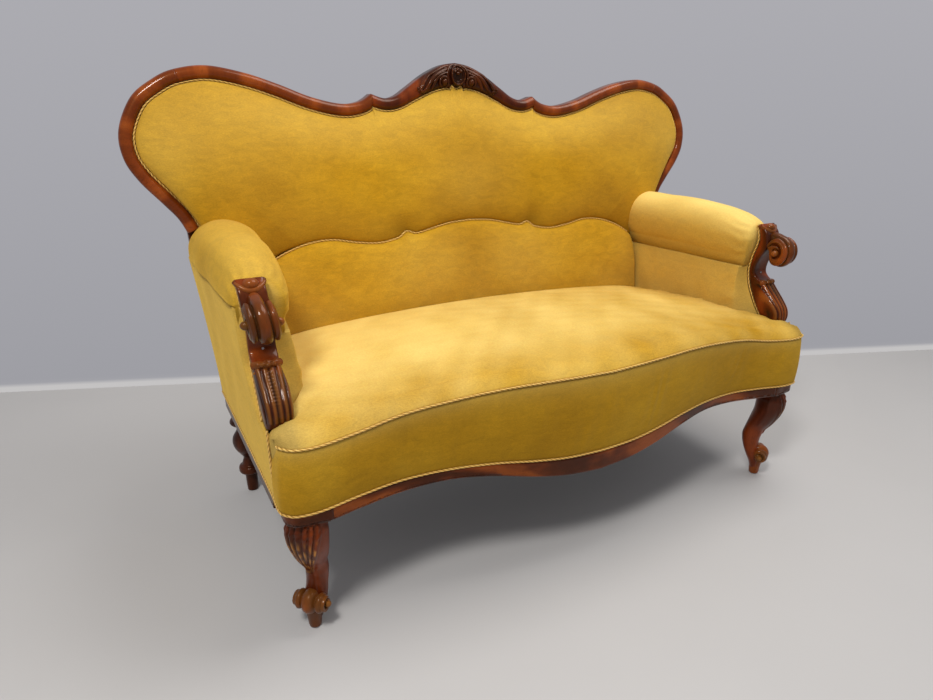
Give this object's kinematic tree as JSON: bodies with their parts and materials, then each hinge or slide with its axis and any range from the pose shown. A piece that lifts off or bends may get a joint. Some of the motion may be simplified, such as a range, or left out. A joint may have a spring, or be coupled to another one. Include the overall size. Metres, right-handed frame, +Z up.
{
  "type": "cabriole sofa",
  "caption": "Show-wood salon sofa with a waved back rail, carved crest, scrolled arm facings, serpentine upholstered seat, cabriole front legs and turned rear legs.",
  "frame": {"origin": "on the floor, below the middle of the box around the whole sofa", "axes": "+X along the width towards the sofa's right-hand end seen from the front, +Y towards the back, +Z up"},
  "size_m": [1.7106, 0.786, 1.12],
  "materials": {
    "carved_wood": "polished dark walnut",
    "dust_cloth": "thin weave",
    "frame_wood": "sawn hardwood",
    "hessian": "open weave",
    "piping_cord": "twisted cord",
    "screw_steel": "plain",
    "show_wood": "polished reddish walnut",
    "spring_steel": "oiled wire",
    "velvet": "short pile velvet",
    "webbing": "woven jute"
  },
  "bodies": {
    "root": {"front_rail": "show_wood", "side_rail_left": "show_wood", "side_rail_right": "show_wood", "rear_rail": "show_wood", "centre_rail": "frame_wood", "corner_blocks": "frame_wood", "front_leg_left": "show_wood", "front_leg_right": "show_wood", "rear_leg_left": "show_wood", "rear_leg_right": "show_wood", "back_post_left": "frame_wood", "back_post_right": "frame_wood", "lower_back_rail": "frame_wood", "centre_stile": "frame_wood", "wing_rail_left": "show_wood", "wing_rail_right": "show_wood", "top_rail_left": "show_wood", "top_rail_right": "show_wood", "crest_rail": "show_wood", "crest_carving": "carved_wood", "arm_stump_left": "frame_wood", "arm_stump_right": "frame_wood", "arm_top_rail_left": "frame_wood", "arm_top_rail_right": "frame_wood", "arm_low_rail_left": "frame_wood", "arm_low_rail_right": "frame_wood", "arm_facing_left": "show_wood", "arm_facing_right": "show_wood", "facing_screws": "screw_steel", "seat_webbing": "webbing", "seat_springs": "spring_steel", "seat_hessian": "hessian", "seat_cushion": "velvet", "front_band": "velvet", "dust_cover": "dust_cloth", "back_webbing": "webbing", "back_hessian": "hessian", "back_pad": "velvet", "lumbar_pad": "velvet", "outside_back": "velvet", "arm_roll_left": "velvet", "arm_roll_right": "velvet", "inside_arm_left": "velvet", "inside_arm_right": "velvet", "outside_arm_left": "velvet", "outside_arm_right": "velvet", "seat_piping": "piping_cord", "frame_piping": "piping_cord", "back_piping_left": "piping_cord", "back_piping_right": "piping_cord", "lumbar_piping": "piping_cord", "facing_piping_left": "piping_cord", "facing_piping_right": "piping_cord"}
  },
  "joints": []
}
